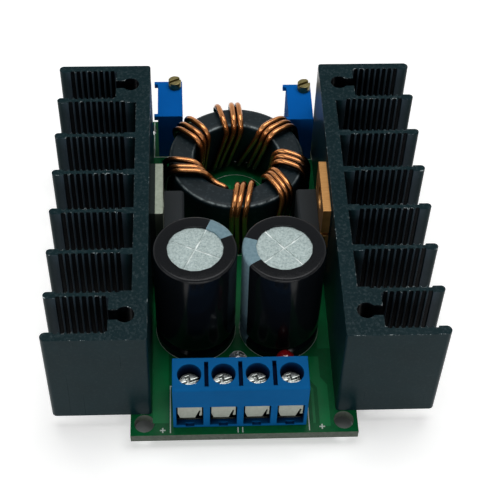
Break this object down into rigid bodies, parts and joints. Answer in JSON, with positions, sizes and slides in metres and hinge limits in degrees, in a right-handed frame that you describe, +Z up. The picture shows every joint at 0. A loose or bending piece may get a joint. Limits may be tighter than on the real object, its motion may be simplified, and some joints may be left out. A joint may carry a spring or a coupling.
{
  "type": "boost converter module",
  "caption": "Power converter board between black finned heatsinks, with a wound ring inductor, capacitors, a blue screw terminal, trimmers and lamps.",
  "frame": {"origin": "under the middle of the board, on the plane that the solder joints stand on", "axes": "+X to the right seen from the terminal side, +Y from the terminal to the trimmers, +Z up"},
  "size_m": [0.058, 0.0652, 0.024],
  "materials": {
    "solder_mask": "green solder mask over glass epoxy, glossy",
    "solder": "bright tin solder",
    "black_anodised": "black anodised, satin",
    "moulding_compound": "black moulding compound, matt",
    "tinned_metal": "tin plated, dull",
    "bare_copper": "bare sawn copper edge",
    "silicone_pad": "grey silicone, matt",
    "core_coating": "dark epoxy coat over pressed powder, satin",
    "enamelled_copper": "enamelled copper wire, glossy",
    "can_aluminium": "drawn aluminium, satin",
    "capacitor_sleeve": "black shrink film with a pale stripe, glossy",
    "seal_rubber": "black rubber",
    "terminal_blue": "blue moulded nylon, satin",
    "plated_steel": "bright plated steel",
    "clear_epoxy": "clear cast epoxy",
    "red_epoxy": "red cast epoxy",
    "trimmer_blue": "blue moulded plastic, satin",
    "brass_screw": "turned brass",
    "chip_black": "black film on ceramic",
    "chip_ceramic": "tan ceramic"
  },
  "bodies": {
    "board": {"pcb": "solder_mask", "solder_joints": "solder", "heatsink_left": "black_anodised", "heatsink_right": "black_anodised", "diode_body": "moulding_compound", "diode_tab": "tinned_metal", "diode_leads": "tinned_metal", "diode_pad": "silicone_pad", "regulator_body": "moulding_compound", "regulator_tab": "bare_copper", "regulator_leads": "tinned_metal", "regulator_pad": "silicone_pad", "inductor_core": "core_coating", "winding_strand_1": "enamelled_copper", "winding_strand_2": "enamelled_copper", "winding_strand_3": "enamelled_copper", "capacitor_left_can": "can_aluminium", "capacitor_left_sleeve": "capacitor_sleeve", "capacitor_left_seal": "seal_rubber", "capacitor_left_leads": "tinned_metal", "capacitor_right_can": "can_aluminium", "capacitor_right_sleeve": "capacitor_sleeve", "capacitor_right_seal": "seal_rubber", "capacitor_right_leads": "tinned_metal", "terminal_housing": "terminal_blue", "terminal_contacts": "tinned_metal", "led_clear_lens": "clear_epoxy", "led_clear_leads": "tinned_metal", "led_red_lens": "red_epoxy", "led_red_leads": "tinned_metal", "trimmer_left_housing": "trimmer_blue", "trimmer_left_pins": "tinned_metal", "trimmer_right_housing": "trimmer_blue", "trimmer_right_pins": "tinned_metal", "amplifier_chip": "moulding_compound", "amplifier_leads": "tinned_metal", "small_regulator": "moulding_compound", "shunt_resistor": "chip_black", "chip_resistors": "chip_black", "chip_capacitors": "chip_ceramic"},
    "terminal_leaf_1": {"terminal_leaf_1": "plated_steel"},
    "terminal_screw_1": {"terminal_screw_1": "plated_steel"},
    "terminal_leaf_2": {"terminal_leaf_2": "plated_steel"},
    "terminal_screw_2": {"terminal_screw_2": "plated_steel"},
    "terminal_leaf_3": {"terminal_leaf_3": "plated_steel"},
    "terminal_screw_3": {"terminal_screw_3": "plated_steel"},
    "terminal_leaf_4": {"terminal_leaf_4": "plated_steel"},
    "terminal_screw_4": {"terminal_screw_4": "plated_steel"},
    "trimmer_left_screw": {"trimmer_left_screw": "brass_screw"},
    "trimmer_right_screw": {"trimmer_right_screw": "brass_screw"}
  },
  "joints": [
    {"name": "terminal_leaf_1_slide", "type": "slide", "parent": "board", "child": "terminal_leaf_1", "axis": [0, 0, -1], "range_m": [0, 0.0012]},
    {"name": "terminal_screw_1_turn", "type": "hinge", "parent": "terminal_leaf_1", "child": "terminal_screw_1", "pos_m": [-0.0082, -0.0285, 0.0115], "axis": [0, 0, -1], "range_deg": [0, 864]},
    {"name": "terminal_leaf_2_slide", "type": "slide", "parent": "board", "child": "terminal_leaf_2", "axis": [0, 0, -1], "range_m": [0, 0.0012]},
    {"name": "terminal_screw_2_turn", "type": "hinge", "parent": "terminal_leaf_2", "child": "terminal_screw_2", "pos_m": [-0.0032, -0.0285, 0.0115], "axis": [0, 0, -1], "range_deg": [0, 864]},
    {"name": "terminal_leaf_3_slide", "type": "slide", "parent": "board", "child": "terminal_leaf_3", "axis": [0, 0, -1], "range_m": [0, 0.0012]},
    {"name": "terminal_screw_3_turn", "type": "hinge", "parent": "terminal_leaf_3", "child": "terminal_screw_3", "pos_m": [0.0018, -0.0285, 0.0115], "axis": [0, 0, -1], "range_deg": [0, 864]},
    {"name": "terminal_leaf_4_slide", "type": "slide", "parent": "board", "child": "terminal_leaf_4", "axis": [0, 0, -1], "range_m": [0, 0.0012]},
    {"name": "terminal_screw_4_turn", "type": "hinge", "parent": "terminal_leaf_4", "child": "terminal_screw_4", "pos_m": [0.0068, -0.0285, 0.0115], "axis": [0, 0, -1], "range_deg": [0, 864]},
    {"name": "trimmer_left_turn", "type": "hinge", "parent": "board", "child": "trimmer_left_screw", "pos_m": [-0.01007, 0.03135, 0.0135], "axis": [0, 0, 1], "continuous": true},
    {"name": "trimmer_right_turn", "type": "hinge", "parent": "board", "child": "trimmer_right_screw", "pos_m": [0.0124, 0.03032, 0.0135], "axis": [0, 0, 1], "continuous": true}
  ],
  "couplings": [
    {"joint": "terminal_screw_1_turn", "follows": "terminal_leaf_1_slide", "rad_per_m": 12565},
    {"joint": "terminal_screw_2_turn", "follows": "terminal_leaf_2_slide", "rad_per_m": 12565},
    {"joint": "terminal_screw_3_turn", "follows": "terminal_leaf_3_slide", "rad_per_m": 12565},
    {"joint": "terminal_screw_4_turn", "follows": "terminal_leaf_4_slide", "rad_per_m": 12565}
  ]
}
